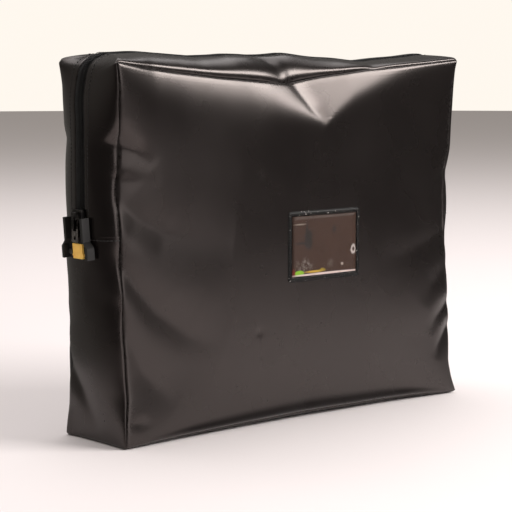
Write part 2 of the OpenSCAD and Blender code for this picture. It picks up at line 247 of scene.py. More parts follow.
def front_depth(x, z):
    """How far the front panel lies behind its flat plane, in millimetres."""
    d = np.zeros(np.shape(x))
    left, right = x + HALF_W, HALF_W - x
    # The edges pull in between the corners.
    d += eased(z, LEFT_PULL, 5) * np.exp(-left / 14)
    d += eased(z, RIGHT_PULL, 8) * np.exp(-right / 18)
    # The outer thirds turn away.
    d += 5.0 * smooth((-62 - x) / 120) * smooth(z / 60) * smooth((HEIGHT - z) / 80)
    d += 2.5 * smooth((x - 80) / 130) * smooth(z / 60) * smooth((HEIGHT - z) / 60)
    # The bottom tucks under in a round belly, down to its seam.
    tuck = eased(x, TUCK, 8)
    seam = eased(x, BOTTOM_LIFT, 8)
    under = np.clip((seam + tuck * 1.9 - z) / (tuck * 1.9), 0, 0.97)
    d += tuck * (1 - np.sqrt(1 - under**2))
    # The top leans back over its whole width, in two parts that meet in a crease.
    west = ramp(z, eased(x, LEAN_LEFT, 3), eased(x, LEAN_LEFT_SOFT, 8), eased(x, LEAN_LEFT_SLOPE, 12))
    east = ramp(z, eased(x, LEAN_RIGHT, 3), eased(x, LEAN_RIGHT_SOFT, 8), eased(x, LEAN_RIGHT_SLOPE, 12))
    blend = 0.05 + 0.8 * smooth(np.minimum(west, east) / 6)
    d += np.minimum(west, east) - blend * np.log1p(np.exp(-np.abs(west - east) / blend))
    d += folds(x, z, FRONT_FOLDS)
    d += sum(dimple(x, z, *one) for one in FRONT_DENTS)
    # The window keeps its part of the panel flat.
    mid = (frame_lo + frame_hi) / 2
    flat = (frame_hi - frame_lo) / 2 + WINDOW_MARGIN
    past_x = np.maximum(np.abs(x - mid[0]) - flat[0], 0)
    past_z = np.maximum(np.abs(z - mid[2]) - flat[2], 0)
    return d * smooth(np.hypot(past_x, past_z) / 34)


def back_depth(x, z):
    """The back panel, in the same terms, with folds of its own."""
    d = 1.2 * np.exp(-(x + HALF_W) / 20) * smooth(z / 40) * smooth((HEIGHT - z) / 60)
    d += 2.0 * np.exp(-(HALF_W - x) / 20) * smooth(z / 40) * smooth((HEIGHT - z) / 60)
    d += 1.5 * smooth((np.abs(x) - 60) / 130) * smooth(z / 60) * smooth((HEIGHT - z) / 70)
    under = np.clip(1 - z / 13, 0, 1)
    d += 7.0 * under**2 * smooth((HALF_W - np.abs(x)) / 60)
    ahead = (z - 272 - 0.24 * np.abs(x - 20)) / 7
    d += 2.2 * np.log1p(np.exp(np.clip(ahead, -30, 30)))
    return d + folds(x, z, BACK_FOLDS)


BACK_IN = [(0, -3.5), (12, -2.5), (25, -0.5), (40, -0.5), (70, -1.6), (110, -0.8), (140, 0), (180, -0.6),
           (215, 0.2), (240, -1), (262, 0.3), (286, -1.3), (305, -7)]
BACK_TOP_SAG = [(-185, -1.5), (-110, 4), (-40, 8), (40, 11), (110, 5), (185, -1.5)]

PANELS = {
    -1: dict(depth=front_depth, left=FRONT_LEFT_IN, right=FRONT_RIGHT_IN, sag=FRONT_TOP_SAG,
             lift=BOTTOM_LIFT),
    1: dict(depth=back_depth, left=BACK_IN, right=BACK_IN, sag=BACK_TOP_SAG, lift=BOTTOM_LIFT),
}


def panel_place(side, a, c):
    """Where a place on a panel lies. a and c are its flat coordinates, side is -1 front or 1 back."""
    shape = PANELS[side]
    a, c = np.broadcast_arrays(np.asarray(a, float), np.asarray(c, float))
    # Round the outline's corners.
    p = np.clip((np.abs(a) - (HALF_W - CORNER)) / CORNER, 0, 1)
    cz = np.abs(c - HEIGHT / 2)
    q = np.clip((cz - (HEIGHT / 2 - CORNER)) / CORNER, 0, 1)
    both = (p > 0) & (q > 0)
    ra = np.sign(a) * np.where(both, HALF_W - CORNER + CORNER * p * np.sqrt(1 - q * q / 2), np.abs(a))
    rc = HEIGHT / 2 + np.sign(c - HEIGHT / 2) * np.where(
        both, HEIGHT / 2 - CORNER + CORNER * q * np.sqrt(1 - p * p / 2), cz)
    x = ra + eased(rc, shape["left"], 4) * smooth(1 - (ra + HALF_W) / 60)
    x = x - eased(rc, shape["right"], 5) * smooth(1 - (HALF_W - ra) / 70)
    z = rc - eased(ra, shape["sag"], 3) * smooth((rc - 0.66 * HEIGHT) / (0.34 * HEIGHT))
    z = z + eased(ra, shape["lift"], 8) * smooth(1 - rc / 30)
    y = side * (HALF_D - shape["depth"](x, z))
    return np.stack([x, y, z], axis=-1)


def seam_roll(side, a, c):
    """How far the cloth turns in near its seams."""
    a, c = np.broadcast_arrays(np.asarray(a, float), np.asarray(c, float))
    gl, gr = np.exp(-((a + HALF_W) / ROLL_REACH)), np.exp(-((HALF_W - a) / ROLL_REACH))
    gb, gt = np.exp(-(c / ROLL_REACH)), np.exp(-((HEIGHT - c) / ROLL_REACH))
    inward = np.maximum(np.maximum(gl, gr), np.maximum(gb, gt))
    return ROLL * np.stack([gl - gr, -side * inward, gb - gt], axis=-1)


def graded(lo, hi, step):
    """Flat coordinates from lo to hi: closer together within a few millimetres of both ends."""
    near = np.array([0, 0.4, 0.9, 1.5, 2.2, 3.0, 3.8, 4.6])
    edge = near[-1]
    n = max(2, int(round((hi - lo - 2 * edge) / step)))
    middle = np.linspace(lo + edge, hi - edge, n + 1)
    return np.concatenate([lo + near[:-1], middle, hi - near[:-1][::-1]])


# ---- Gusset's shape ----

def zip_wander(t):
    """How far the zip's line strays from the middle. t runs along the rim, 0 at the middle of the top."""
    left = 6.0 * np.exp(-(((t + 196) / 26) ** 2))
    sway = 1.3 * np.sin(t / 33.0 + 0.5) * smooth((np.abs(t) - 20) / 60) + 0.8 * np.sin(t / 17.0)
    # Straight where the slider runs.
    return (left + sway) * smooth((t + 248) / 36)


TOP_WAVE = [(-175, 1.5), (-150, 2.2), (-120, 1), (-93, -1.6), (-57, 0.4), (-31, -0.8), (8, 0.8), (49, -2.6),
            (92, -5.6), (122, -4), (152, -1.4), (172, 0)]


def top_wave(x):
    """The top of the zip rises and dips along the bag."""
    return eased(x, TOP_WAVE, 6) + 0.3 * np.sin(x / 8.5) * smooth((HALF_W - np.abs(x)) / 40)


def rise_at(z):
    low = SIDE_RISE * np.clip(z, 0, JOIN_H) / JOIN_H
    high = SIDE_RISE + (TOP_RISE - SIDE_RISE) * smooth((z - EASE_START) / (HEIGHT - EASE_START))
    return np.where(z < JOIN_H, low, high)


def rim(step, z0):
    """Places along the panels' edge, from height z0 on the left over the top to z0 on the right.

    Each is (a, c, side, height, turn): height on the sides, turn from 0 to 1 round a corner."""
    heights = np.linspace(z0, HEIGHT - CORNER, int((HEIGHT - CORNER - z0) / step) + 1)
    heights = np.concatenate([[z0, z0 + JOIN_ROW], heights[1:]])
    widths = np.linspace(-HALF_W + CORNER, HALF_W - CORNER, int(2 * HALF_W / step))
    turns = np.linspace(0, 1, 9)[1:-1]
    left = [(-HALF_W, z, -1, z, None) for z in heights]
    right = [(HALF_W, z, 1, z, None) for z in heights[::-1]]
    corners = []
    for side, order in ((-1, turns), (1, turns[::-1])):
        corners.append([(side * (HALF_W - CORNER * (1 - min(1, 2 * (1 - t)))),
                         HEIGHT - CORNER * (1 - min(1, 2 * t)), side, None, t) for t in order])
    top = [(x, HEIGHT, 0, None, None) for x in widths]
    return left + corners[0] + top + corners[1] + right


def rim_run(station):
    """How far along the rim a station is."""
    a, c, side = station[:3]
    return a if side == 0 else side * (HALF_W + HEIGHT - c)


def ridge(station):
    """The zip's place at a station and the direction it faces."""
    a, _, side, z, turn = station
    arc_z = HEIGHT - RIDGE_R
    if z is not None:
        zr = z - (HEIGHT - CORNER - arc_z) * float(smooth((z - 210) / (HEIGHT - CORNER - 210)))
        place = np.array([side * (HALF_W + float(rise_at(zr))), 0, zr])
        n = np.array([side, 0, 0.0])
    elif turn is not None:
        angle = math.radians(90 * turn)
        zr = arc_z + RIDGE_R * math.sin(angle)
        n = np.array([side * math.cos(angle), 0, math.sin(angle)])
        place = np.array([side * (HALF_W - RIDGE_R), 0, arc_z]) + n * (RIDGE_R + float(rise_at(zr)))
    else:
        xr = a * (HALF_W - RIDGE_R) / (HALF_W - CORNER)
        place = np.array([xr, 0, HEIGHT + TOP_RISE + float(top_wave(xr))])
        n = np.array([0, 0, 1.0])
    place[1] = float(zip_wander(rim_run(station)))
    return place, n


def bezier(p0, p1, p2, p3, t):
    t = np.asarray(t, float)[:, None]
    return (1 - t) ** 3 * p0 + 3 * (1 - t) ** 2 * t * p1 + 3 * (1 - t) * t * t * p2 + t**3 * p3


# Folds in the gusset's side faces (-1 left, 1 right), as (y, z) places, and in its top (0), as (y, x).
GUSSET_FOLDS = {
    -1: [([(-42, 231), (-30, 222), (-14, 206)], 2.4, 28, 9, 1.0, 0.6),
         ([(42, 236), (30, 244), (16, 250)], 1.8, 9, 8, 1.0, 0.7),
         ([(-42, 200), (-30, 196), (-16, 200)], 1.4, 14, 9, 1.0, 0.7),
         ([(38, 62), (18, 42), (-4, 10)], 3.2, 6, 17, 1.0, 0.6),
         ([(38, 128), (30, 110), (26, 92)], 1.6, 6, 12, 1.0, 0.6),
         ([(-41, 106), (-24, 116), (0, 118)], 3.0, 26, 10, 1.0, 0.6)],
    0: [([(-40, -8), (-26, -14), (-8, -26)], 3.0, 7, 10, 1.0, 0.4),
        ([(-40, 92), (-26, 86), (-10, 78)], 1.6, 8, 8, 1.0, 0.5),
        ([(42, 40), (26, 34), (12, 24)], 2.2, 7, 9, 1.0, 0.4),
        ([(42, -96), (26, -100), (12, -110)], 1.8, 8, 9, 1.0, 0.4)],
    1: [([(-42, 206), (-28, 198), (-14, 194)], 3.2, 10, 8, 1.0, 0.7),
        ([(42, 214), (28, 222), (14, 224)], 2.6, 10, 8, 1.0, 0.7),
        ([(20, 16), (4, 50), (-10, 88), (-14, 110)], 3.0, 9, 12, 2.0, 0.5),
        ([(-42, 150), (-22, 132), (0, 112)], 3.0, 8, 10, 1.5, 0.7),
        ([(-42, 62), (-26, 56), (-10, 40)], 2.4, 8, 8, 1.5, 0.7)],
}


def gusset_dents(side, p):
    """How deep the gusset's folds are at places p. side is -1, 0 (the top) or 1."""
    return folds(p[:, 1], p[:, 2] if side else p[:, 0], GUSSET_FOLDS[side])


def strip_grid(stations, side, columns, inner=()):
    """One half of the upper gusset. columns run 0 to 1 from the seam to the strip's edge by the zip;
    inner are further distances from the zip's line, for what lies under the strip's edge."""
    rows = []
    for station in stations:
        a, c, where = station[:3]
        start = panel_place(side, a, c)
        roll = seam_roll(side, a, c)
        middle, n = ridge(station)
        across = np.array([0, side, 0.0])
        end = middle + across * STRIP_EDGE
        rise = float(np.dot(end - start, n))
        span = abs(end[1] - start[1])
        over = 1.5 * float(smooth((HALF_W - abs(a)) / 90)) if where == 0 else 0.0
        c1 = start + n * rise * 0.5 + across * (over - span * 0.1)
        c2 = end + across * span * 0.45 - n * rise * 0.02
        line = bezier(start, c1, c2, end, columns)
        if len(inner):
            line = np.concatenate([line, [middle + across * u for u in inner]])
        from_seam = np.linalg.norm(line - start, axis=1)
        clear = smooth((np.abs(line[:, 1] - middle[1]) - 8) / 9)
        dents = gusset_dents(where, line) * clear
        rows.append(line + roll * np.exp(-from_seam / ROLL_REACH)[:, None] - n * dents[:, None])
    return np.array(rows)


def lower_grid(columns, top, step=3.2):
    """The lower gusset: from height top down the left side, under the base and up the right side."""
    heights = np.linspace(top, CORNER, int((top - CORNER) / step))
    heights = np.concatenate([[top, top - JOIN_ROW], heights[1:]])
    widths = np.linspace(-HALF_W + CORNER, HALF_W - CORNER, int(2 * HALF_W / step))
    turns = np.linspace(0, 1, 7)[1:-1]
    left, right = [[(side * HALF_W, z, side, 0.0) for z in heights]
                   + [(side * (HALF_W - CORNER * max(0, 2 * t - 1)), CORNER * (1 - min(1, 2 * t)), side, t)
                      for t in turns] for side in (-1, 1)]
    stations = left + [(x, 0.0, 0, 1.0) for x in widths] + right[::-1]
    rows = []
    for a, c, side, t in stations:
        across, down = math.cos(t * math.pi / 2), math.sin(t * math.pi / 2)
        n = np.array([side * across, 0, -down])
        starts = [panel_place(-1, a, c), panel_place(1, a, c)]
        rolls = [seam_roll(-1, a, c), seam_roll(1, a, c)]
        x, z = (side * (HALF_W - CORNER * (1 - across)), CORNER * (1 - down)) if t > 0 and side else (a, c)
        middle = np.array([x, 0, z]) + n * float(rise_at(c)) * abs(n[0])
        halves = []
        for start in starts:
            lift = float(np.dot(middle - start, n))
            span = middle[1] - start[1]
            c1 = start + n * lift * 0.55 + [0, span * 0.1, 0]
            c2 = middle - np.array([0, span * 0.55, 0])
            halves.append(bezier(start, c1, c2, middle, columns))
        line = np.concatenate([halves[0], halves[1][::-1][1:]])
        for start, roll in zip(starts, rolls):
            line = line + roll * np.exp(-np.linalg.norm(line - start, axis=1) / ROLL_REACH)[:, None]
        if side:
            # The side faces pull in a little between the seams and fold, but stay flat under the housing.
            y, z = line[:, 1], line[:, 2]
            clear = np.where((side < 0) & (z > 140), smooth((np.abs(y) - 18) / 8), 1.0)
            dents = gusset_dents(side, line) * clear * smooth(z / 16)
            line = line - n * dents[:, None]
        rows.append(line)
    return np.array(rows)


# ---- Meshes ----

def outward(p, flip):
    """Directions out of the bag at a grid's points. flip says that the grid's own normals point in."""
    n = unit(np.cross(np.gradient(p, axis=0), np.gradient(p, axis=1)))
    return -n if flip else n


def moved_in(p, depth, flip):
    """The grid moved towards the inside of the bag."""
    return p - outward(p, flip) * depth


def add_object(name, data):
    obj = bpy.data.objects.new(name, data)
    bpy.context.scene.collection.objects.link(obj)
    return obj


def mesh_object(name, verts, faces, material, uvs=None, wear_and_shade=None):
    mesh = bpy.data.meshes.new(name)
    mesh.from_pydata((np.asarray(verts, float) * MM).tolist(), [], [list(map(int, f)) for f in faces])
    mesh.update()
    if uvs is not None:
        layer = mesh.uv_layers.new(name="cloth")
        loops = np.zeros(len(mesh.loops), np.int32)
        mesh.loops.foreach_get("vertex_index", loops)
        layer.data.foreach_set("uv", np.asarray(uvs)[loops].astype(np.float32).ravel())
    if wear_and_shade is not None:
        values = mesh.attributes.new("wear_and_shade", "FLOAT", "POINT").data
        values.foreach_set("value", np.asarray(wear_and_shade, np.float32))
    mesh.polygons.foreach_set("use_smooth", [True] * len(mesh.polygons))
    mesh.materials.append(material)
    return add_object(name, mesh)


def shell(name, p, thickness, material, flip=False, wear_and_shade=None):
    """A cloth sheet with thickness, from a grid of points on its outer face."""
    rows, cols = p.shape[:2]
    thick = np.broadcast_to(np.asarray(thickness, float), (rows, cols))[..., None]
    inner = moved_in(p, thick, flip)
    idx = np.arange(rows * cols).reshape(rows, cols)
    outer = np.stack([idx[:-1, :-1], idx[1:, :-1], idx[1:, 1:], idx[:-1, 1:]], -1).reshape(-1, 4)
    edge = np.concatenate([idx[0, :], idx[1:, -1], idx[-1, -2::-1], idx[-2:0:-1, 0]])
    after = np.roll(edge, -1)
    rim_faces = np.stack([edge, after, after + rows * cols, edge + rows * cols], -1)
    faces = np.concatenate([outer, outer[:, ::-1] + rows * cols, rim_faces])
    if flip:
        faces = faces[:, ::-1]
    u = np.broadcast_to(run_along(p[:, cols // 2])[:, None], (rows, cols))
    v = np.array([run_along(row) for row in p])
    uv = np.stack([u, v], -1).reshape(-1, 2) * MM
    both = None if wear_and_shade is None else np.concatenate([wear_and_shade.ravel(), wear_and_shade.ravel()])
    return mesh_object(name, np.concatenate([p.reshape(-1, 3), inner.reshape(-1, 3)]), faces, material,
                       np.concatenate([uv, uv]), both)


def flat_sheet(lo, hi, columns, rows):
    """A grid over the front face of a flat CAD sheet."""
    x, z = np.meshgrid(np.linspace(lo[0], hi[0], columns), np.linspace(lo[2], hi[2], rows), indexing="ij")
    return np.stack([x, np.full(x.shape, lo[1]), z], -1)


def tube(name, sections, material, closed=False):
    """A solid through a list of section rings with equal counts of points."""
    s = np.asarray(sections, float)
    rings, n = s.shape[:2]
    faces = []
    for r in range(rings if closed else rings - 1):
        a, b = r * n, ((r + 1) % rings) * n
        faces += [[a + i, a + (i + 1) % n, b + (i + 1) % n, b + i] for i in range(n)]
    if not closed:
        faces += [list(range(n))[::-1], list(range((rings - 1) * n, rings * n))]
    run = run_along(s.mean(1))
    girth = np.linalg.norm(s[0] - np.roll(s[0], 1, axis=0), axis=1).cumsum()
    uv = np.stack(np.meshgrid(run, girth, indexing="ij"), -1).reshape(-1, 2) * MM
    return mesh_object(name, s.reshape(-1, 3), faces, material, uv)


def wire(path, across, up, radius):
    """Section rings round a path, given two directions across it."""
    angles = circle(WIRE_SIDES)
    return (path[:, None] + radius * (np.cos(angles)[None, :, None] * across[:, None]
                                      + np.sin(angles)[None, :, None] * up[:, None]))


def stitches(name, path, normals, body, pitch=3.2, length=2.5, lift=0.12):
    """A row of thread stitches that lie on a path along a surface, attached to the given body."""
    run = run_along(path)
    # Places along a stitch from end to end, with its thickness there.
    rings = [(-1, 0.05), (-0.8, 0.7), (-0.3, 1), (0.3, 1), (0.8, 0.7), (1, 0.05)]
    verts, faces = [], []
    m = WIRE_SIDES
    for k in range(int(run[-1] / pitch)):
        s = (k + 0.5) * pitch
        tail, centre, head = at_run(s + np.array([-length / 2, 0, length / 2]), run, path)
        ahead = unit(head - tail)
        n = unit(at_run(s, run, normals))
        across = unit(np.cross(ahead, n))
        base = len(verts)
        for along, r in rings:
            mid = centre + ahead * along * length / 2 + n * (lift - 0.35 * along**4)
            verts += [mid + r * THREAD_R * (math.cos(t) * across + 0.62 * math.sin(t) * n) for t in circle(m)]
        for r in range(len(rings) - 1):
            for i in range(m):
                a = base + r * m
                faces.append([a + i, a + (i + 1) % m, a + m + (i + 1) % m, a + m + i])
        faces.append([base + i for i in range(m)][::-1])
        faces.append([base + (len(rings) - 1) * m + i for i in range(m)])
    return dress(mesh_object(name, verts, faces, thread_mat), "black_coated_fabric", body)


# ---- Materials ----

class Tree:
    """A node tree with a short way to add a node and its links."""

    def __init__(self, owner):
        owner.use_nodes = True
        self.tree = owner.node_tree

    def add(self, kind, inputs=(), **settings):
        node = self.tree.nodes.new(kind)
        for key, v in settings.items():
            setattr(node, key, v)
        for key, v in dict(inputs).items():
            socket = node.inputs[key]
            if isinstance(v, bpy.types.NodeSocket):
                self.tree.links.new(v, socket)
            else:
                socket.default_value = v
        return node


class Nodes(Tree):
    """Short names for building a material's node tree."""

    def __init__(self, name, color, rough, metallic=0.0):
        self.material = bpy.data.materials.new(name)
        super().__init__(self.material)
        self.shader = self.tree.nodes["Principled BSDF"]
        self.value("Base Color", (*color, 1))
        self.value("Roughness", rough)
        self.value("Metallic", metallic)

    def value(self, name, v):
        self.shader.inputs[name].default_value = v

    def math(self, operation, a, b=0.0, clamp=False):
        return self.add("ShaderNodeMath", {0: a, 1: b}, operation=operation, use_clamp=clamp).outputs[0]

    def cloth(self):
        return self.add("ShaderNodeUVMap", uv_map="cloth").outputs[0]

    def place(self):
        return self.add("ShaderNodeTexCoord").outputs["Object"]

    def noise(self, vector, scale, detail=3.0, rough=0.5):
        return self.add("ShaderNodeTexNoise", {"Vector": vector, "Scale": scale, "Detail": detail,
                                               "Roughness": rough}).outputs["Fac"]

    def spread(self, value, lo, hi, start=0.0, end=1.0):
        return self.add("ShaderNodeMapRange", {"Value": value, "From Min": start, "From Max": end,
                                               "To Min": lo, "To Max": hi}).outputs["Result"]

    def tint(self, fac, a, b):
        a, b = [(*v, 1) if isinstance(v, tuple) else v for v in (a, b)]
        return self.add("ShaderNodeMix", {0: fac, 6: a, 7: b}, data_type="RGBA").outputs[2]

    def set(self, name, socket):
        self.tree.links.new(socket, self.shader.inputs[name])

    def bump(self, *layers):
        """Stacks bumps: (height, distance in millimetres, strength)."""
        normal = None
        for height, distance, strength in layers:
            inputs = {"Height": height, "Distance": distance * MM, "Strength": strength}
            if normal is not None:
                inputs["Normal"] = normal
            normal = self.add("ShaderNodeBump", inputs).outputs["Normal"]
        self.set("Normal", normal)


def coated_fabric(name, base, rough):
    m = Nodes(name, base, rough)
    uv = m.cloth()
    blotch = m.noise(uv, 14.0, 4.0)
    grain = m.noise(uv, 1900.0, 2.0)
    pebble = m.add("ShaderNodeTexVoronoi", {"Vector": uv, "Scale": 900.0}).outputs["Distance"]
    ripple = m.noise(uv, 34.0, 2.0)
    # 1 where the cloth is rubbed at a seam, 0 on the plain cloth, -1 where painted shade dulls its
    # reflection.
    wear_and_shade = m.add("ShaderNodeAttribute", attribute_name="wear_and_shade").outputs["Fac"]
    m.set("Specular IOR Level", m.spread(wear_and_shade, 0.08, 0.5, -1.0, 0.0))
    scuff = m.math("MULTIPLY", wear_and_shade, m.spread(m.noise(uv, 260.0, 5.0, 0.7), 0, 1, 0.45, 0.75), True)
    shade = m.tint(blotch, tuple(c * 0.85 for c in base), tuple(c * 1.2 for c in base))
    m.set("Base Color", m.tint(scuff, shade, tuple(0.03 + c * 2.2 for c in base)))
    duller = m.math("MULTIPLY", scuff, 0.18)
    m.set("Roughness", m.math("ADD", m.spread(blotch, rough - 0.05, rough + 0.06), duller))
    m.bump((ripple, 0.25, 0.3), (pebble, 0.02, 0.3), (grain, 0.01, 0.3))
    m.value("IOR", 1.58)
    m.value("Specular Tint", (1.0, 0.87, 0.83, 1.0))
    return m.material


def woven(name, base, other, rough, pitch, sheen, depth):
    """A woven cloth or tape. pitch is its yarns' two spacings and depth their height, in millimetres; other
    is painted shade, the colour where the yarns dip.
    """
    m = Nodes(name, base, rough)
    uv = m.cloth()
    xyz = m.add("ShaderNodeSeparateXYZ", {0: uv})
    a = m.math("SINE", m.math("MULTIPLY", xyz.outputs[0], math.pi / (pitch[0] * MM)))
    b = m.math("SINE", m.math("MULTIPLY", xyz.outputs[1], math.pi / (pitch[1] * MM)))
    over = m.math("MULTIPLY", a, b)
    height = m.spread(over, 0, 1, -1, 1)
    fibre = m.noise(uv, 2600.0, 2.0)
    patch = m.noise(uv, 30.0, 3.0)
    # Painted shade: darker where the yarns dip, mixed with random patches of tone.
    weave_shade_and_tone = m.math("ADD", m.math("MULTIPLY", height, 0.7), m.math("MULTIPLY", patch, 0.4), True)
    m.set("Base Color", m.tint(weave_shade_and_tone, other, base))
    m.set("Roughness", m.spread(height, rough + 0.08, rough - 0.05))
    m.bump((height, depth, 0.8), (fibre, 0.03, 0.4))
    if sheen:
        m.value("Sheen Weight", sheen)
        m.value("Sheen Roughness", 0.4)
    return m.material


def moulded(name, base, rough, fine=2400.0, subsurface=0.0):
    """Moulded plastic with a fine spark texture and handling marks."""
    m = Nodes(name, base, rough)
    at = m.place()
    marks = m.noise(at, 160.0, 4.0, 0.6)
    spark = m.noise(at, fine, 2.0)
    m.set("Base Color", m.tint(m.spread(marks, 0, 1, 0.35, 0.7), tuple(c * 0.85 for c in base),
                               tuple(min(1.0, c * 1.12) for c in base)))
    m.set("Roughness", m.spread(marks, rough - 0.08, rough + 0.1, 0.3, 0.7))
    m.bump((spark, 0.02, 0.5))
    if subsurface:
        m.value("Subsurface Weight", subsurface)
        m.value("Subsurface Radius", (0.004, 0.002, 0.001))
        m.value("Subsurface Scale", 1.0)
    return m.material


def metal(name, base, rough, worn):
    """Plated metal: brighter and smoother where the plating is rubbed."""
    m = Nodes(name, base, rough, 1.0)
    at = m.place()
    rubbed = m.spread(m.noise(at, 420.0, 4.0, 0.65), 0, 1, 0.45, 0.62)
    m.set("Base Color", m.tint(rubbed, base, worn))
    m.set("Roughness", m.spread(rubbed, rough + 0.1, rough - 0.05))
    m.bump((m.noise(at, 1500.0, 2.0), 0.01, 0.4))
    return m.material


def clear_film():
    """Clear plastic film with smudges and a greyish haze."""
    m = Nodes("film", (0.07, 0.06, 0.055), 0.14)
    uv = m.cloth()
    smear = m.spread(m.noise(uv, 60.0, 4.0, 0.6), 0, 1, 0.5, 0.8)
    m.set("Alpha", m.spread(smear, 0.02, 0.09))
    m.set("Roughness", m.spread(smear, 0.12, 0.3))
    m.bump((m.noise(uv, 45.0, 2.0), 0.5, 0.35))
    return m.material


def blob(m, uv, cx, cz, rx, rz, soft=0.35, tilt=0.0, ring=0.0):
    """1 inside an ellipse on the card, 0 outside, with a soft edge. ring leaves only its border."""
    moved = m.add("ShaderNodeMapping", {0: uv, "Location": (-cx * MM, -cz * MM, 0)}).outputs[0]
    turned = m.add("ShaderNodeMapping", {0: moved, "Rotation": (0, 0, tilt),
                                         "Scale": (1 / (rx * MM), 1 / (rz * MM), 0)},
                   vector_type="POINT").outputs[0]
    distance = m.add("ShaderNodeVectorMath", {0: turned}, operation="LENGTH").outputs["Value"]
    if ring:
        distance = m.math("ADD", m.math("ABSOLUTE", m.math("SUBTRACT", distance, 1.0)), 1.0 - ring)
    return m.spread(distance, 1, 0, 1 - soft, 1 + soft)


def printed_card():
    """The card behind the window: plain brown board with soft, worn patches."""
    m = Nodes("card", (0.05, 0.027, 0.019), 0.55)
    uv = m.cloth()
    fibre = m.noise(uv, 500.0, 5.0, 0.7)
    shift = m.add("ShaderNodeTexNoise", {"Vector": uv, "Scale": 90.0, "Detail": 3.0}).outputs["Color"]
    wobble = m.add("ShaderNodeVectorMath", {0: shift, 1: (-0.5, -0.5, -0.5)}, operation="ADD").outputs[0]
    wobble = m.add("ShaderNodeVectorMath", {0: wobble, "Scale": 0.007}, operation="SCALE").outputs[0]
    at = m.add("ShaderNodeVectorMath", {0: uv, 1: wobble}, operation="ADD").outputs[0]
    color = m.tint(fibre, (0.034, 0.0165, 0.0105), (0.05, 0.025, 0.017))
    dark = (0.018, 0.015, 0.0145)
    grey = (0.16, 0.14, 0.13)
    mottled = m.spread(m.noise(uv, 260.0, 3.0), 0, 1, 0.42, 0.62)
    smudge = m.math("MULTIPLY", blob(m, at, 14, 9, 7.5, 4.6, 0.5, -0.2), mottled)
    patches = [
        (blob(m, at, 18.5, 31, 4.2, 8.0, 0.25, 0.12), dark, 0.95),
        (blob(m, at, 17, 41, 1.3, 6.0, 0.4, 0.1), dark, 0.85),
        (blob(m, at, 10.5, 28.5, 7.0, 1.3, 0.5, -0.95), dark, 0.85),
        (blob(m, at, 47.5, 38, 2.2, 3.6, 0.4, -0.3), dark, 0.85),
        (smudge, grey, 0.8),
        (blob(m, at, 44, 9, 3.0, 3.0, 0.6), grey, 0.25),
        (blob(m, uv, 8.5, 44.2, 6.5, 0.6, 0.4, 0.05), (0.22, 0.19, 0.165), 0.8),
        (blob(m, at, 70, 20, 2.0, 3.4, 0.25, 0.3, ring=0.35), (0.42, 0.38, 0.36), 0.95),
        (blob(m, at, 58, 7.3, 1.5, 1.3, 0.5), (0.38, 0.32, 0.29), 0.9),
        (blob(m, uv, 8, 2.6, 5.2, 2.4, 0.15, 0.2), (0.2, 0.42, 0.02), 0.95),
        (blob(m, uv, 25, 3.2, 10, 0.9, 0.35, 0.1), (0.5, 0.33, 0.04), 0.85),
        (blob(m, at, 34, 4.6, 4.0, 1.2, 0.4, 0.1), (0.3, 0.22, 0.02), 0.8),
        (blob(m, uv, 1.5, 3.5, 1.8, 3.0, 0.3), (0.16, 0.015, 0.01), 0.85),
        (blob(m, uv, 38, 0.8, 40, 1.0, 0.25), (0.8, 0.66, 0.63), 0.95),
    ]
    for mask, tone, strength in patches:
        color = m.tint(m.math("MULTIPLY", mask, strength), color, tone)
    m.set("Base Color", color)
    m.bump((fibre, 0.03, 0.3))
    m.value("Specular IOR Level", 0.25)
    return m.material


def window_weld():
    """The window's dark welded border, with a few bright specks."""
    m = Nodes("weld", (0.003, 0.0028, 0.0028), 0.42)
    at = m.place()
    speck = m.spread(m.noise(at, 520.0, 2.0), 0, 1, 0.69, 0.73)
    m.set("Base Color", m.tint(speck, (0.003, 0.0028, 0.0028), (0.5, 0.48, 0.46)))
    m.set("Roughness", m.spread(m.noise(at, 900.0, 3.0), 0.34, 0.6))
    m.bump((m.noise(at, 1300.0, 2.0), 0.05, 0.5))
    m.value("Specular IOR Level", 0.22)
    return m.material


skin_mat = coated_fabric("coated_fabric", (0.0052, 0.0041, 0.0040), 0.27)
lining_mat = woven("glass_fibre_lining", (0.5, 0.49, 0.46), (0.2, 0.195, 0.18), 0.72, (1.1, 1.1), 0.0, 0.25)
binding_mat = woven("binding_tape", (0.03, 0.029, 0.029), (0.008,) * 3, 0.8, (0.7, 0.45), 0.2, 0.15)
tape_mat = woven("zip_tape", (0.02, 0.0195, 0.02), (0.005,) * 3, 0.82, (0.5, 0.8), 0.25, 0.12)
teeth_mat = moulded("zip_teeth", (0.007,) * 3, 0.42)
thread_mat = woven("thread", (0.02, 0.019, 0.019), (0.006,) * 3, 0.55, (0.3, 0.3), 0.1, 0.03)
slider_mat = metal("zip_metal", (0.022, 0.02, 0.02), 0.3, (0.09, 0.085, 0.08))
pull_mat = metal("pull_metal", (0.18, 0.165, 0.16), 0.22, (0.34, 0.32, 0.3))
housing_mat = moulded("housing_plastic", (0.012, 0.0112, 0.0112), 0.42)
rivet_mat = metal("rivet_metal", (0.3, 0.29, 0.28), 0.35, (0.6, 0.58, 0.56))
seal_mat = moulded("seal_plastic", (1.0, 0.56, 0.11), 0.36, 1800.0, 0.12)
film_mat = clear_film()
weld_mat = window_weld()
card_mat = printed_card()

# ---- Cloth pieces ----


def dress(obj, slot, body, *nodes):
    """Hides the CAD nodes that a finished piece stands in for and attaches the piece to its body; a front
    piece has its place baked in instead. slot is not used.
    """
    if nodes:
        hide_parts(*nodes)
    if body == "front":
        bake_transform(obj)
    else:
        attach(obj, body)
    return obj


def edge_direction(side, axis, end):
    """The way a panel's seam allowance turns: back from the edge and into the bag."""
    return unit(np.array([-end, -side, 0.0]) if axis == 0 else np.array([0.0, -side, -end]))


